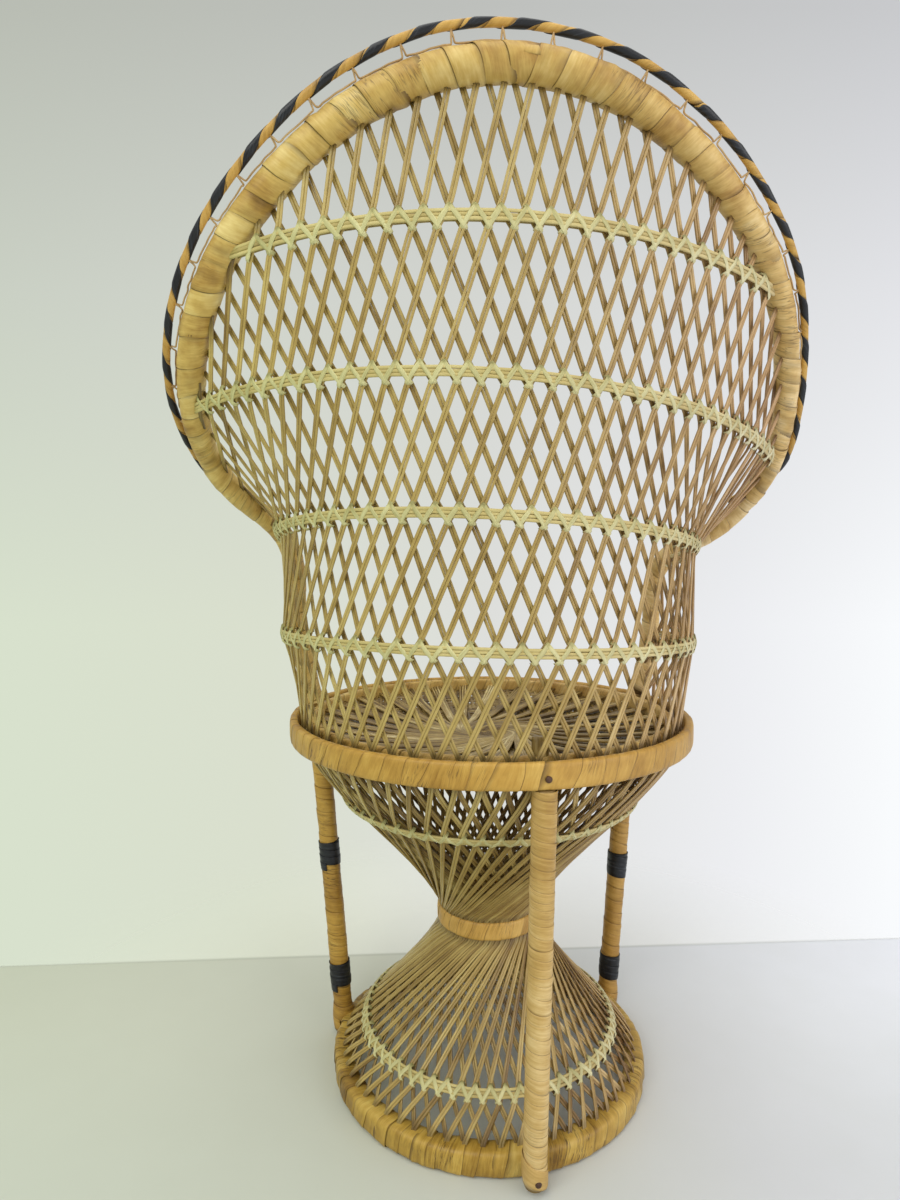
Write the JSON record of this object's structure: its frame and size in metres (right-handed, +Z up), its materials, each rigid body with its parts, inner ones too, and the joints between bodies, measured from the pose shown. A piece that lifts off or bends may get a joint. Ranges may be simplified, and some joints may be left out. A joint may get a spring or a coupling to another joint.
{
  "type": "peacock chair",
  "caption": "Small wicker peacock chair: hourglass lattice base, three wrapped legs, woven seat and a fan-shaped lattice back ending on a wrapped hoop with a striped rim.",
  "frame": {"origin": "on the floor, under the middle of the bounding box", "axes": "+Z up, the sitter faces -Y, the fan back stands at +Y, +X to the sitter's left"},
  "size_m": [0.2814, 0.2018, 0.4279],
  "materials": {
    "peel": "satin split-cane wrap",
    "orange_peel": "satin split-cane wrap",
    "reed": "dry round reed, matt",
    "band_reed": "dry flat reed, matt",
    "pale_cord": "dry split reed, matt",
    "seat_reed": "dry reed, matt",
    "black_peel": "dyed split cane, satin",
    "ochre_peel": "split cane, satin",
    "vine": "thin vine, matt",
    "nail": "dull, rusted"
  },
  "bodies": {
    "root": {"base_ring_outer": "peel", "base_ring_inner": "peel", "waist_ring": "peel", "seat_ring_outer": "peel", "seat_ring_inner": "peel", "lower_cone_outer_1": "reed", "lower_cone_outer_2": "reed", "lower_cone_outer_3": "reed", "lower_cone_outer_4": "reed", "lower_cone_outer_5": "reed", "lower_cone_outer_6": "reed", "lower_cone_inner": "reed", "upper_cone_outer_1": "reed", "upper_cone_outer_2": "reed", "upper_cone_outer_3": "reed", "upper_cone_outer_4": "reed", "upper_cone_outer_5": "reed", "upper_cone_outer_6": "reed", "upper_cone_inner": "reed", "lower_cone_band": "band_reed", "lower_cone_lashing": "pale_cord", "upper_cone_band": "band_reed", "upper_cone_lashing": "pale_cord", "hoop": "peel", "back_outer_1": "reed", "back_outer_2": "reed", "back_outer_3": "reed", "back_outer_4": "reed", "back_outer_5": "reed", "back_outer_6": "reed", "back_outer_side": "reed", "back_inner": "reed", "back_inner_side": "reed", "back_band_4": "band_reed", "back_lashing_4": "pale_cord", "back_band_3": "band_reed", "back_lashing_3": "pale_cord", "back_band_2": "band_reed", "back_lashing_2": "pale_cord", "back_band_1": "band_reed", "back_lashing_1": "pale_cord", "rim_cane": "ochre_peel", "rim_ribbon": "black_peel", "rim_lacing": "vine", "back_leg": "peel", "left_leg": "orange_peel", "left_leg_sleeve_1": "black_peel", "left_leg_sleeve_2": "black_peel", "right_leg": "orange_peel", "right_leg_sleeve_1": "black_peel", "right_leg_sleeve_2": "black_peel", "back_leg_tongue": "seat_reed", "seat_ring_nail": "nail", "seat_under_weave": "seat_reed", "seat_swirl": "seat_reed", "seat_hub": "seat_reed"}
  },
  "joints": []
}
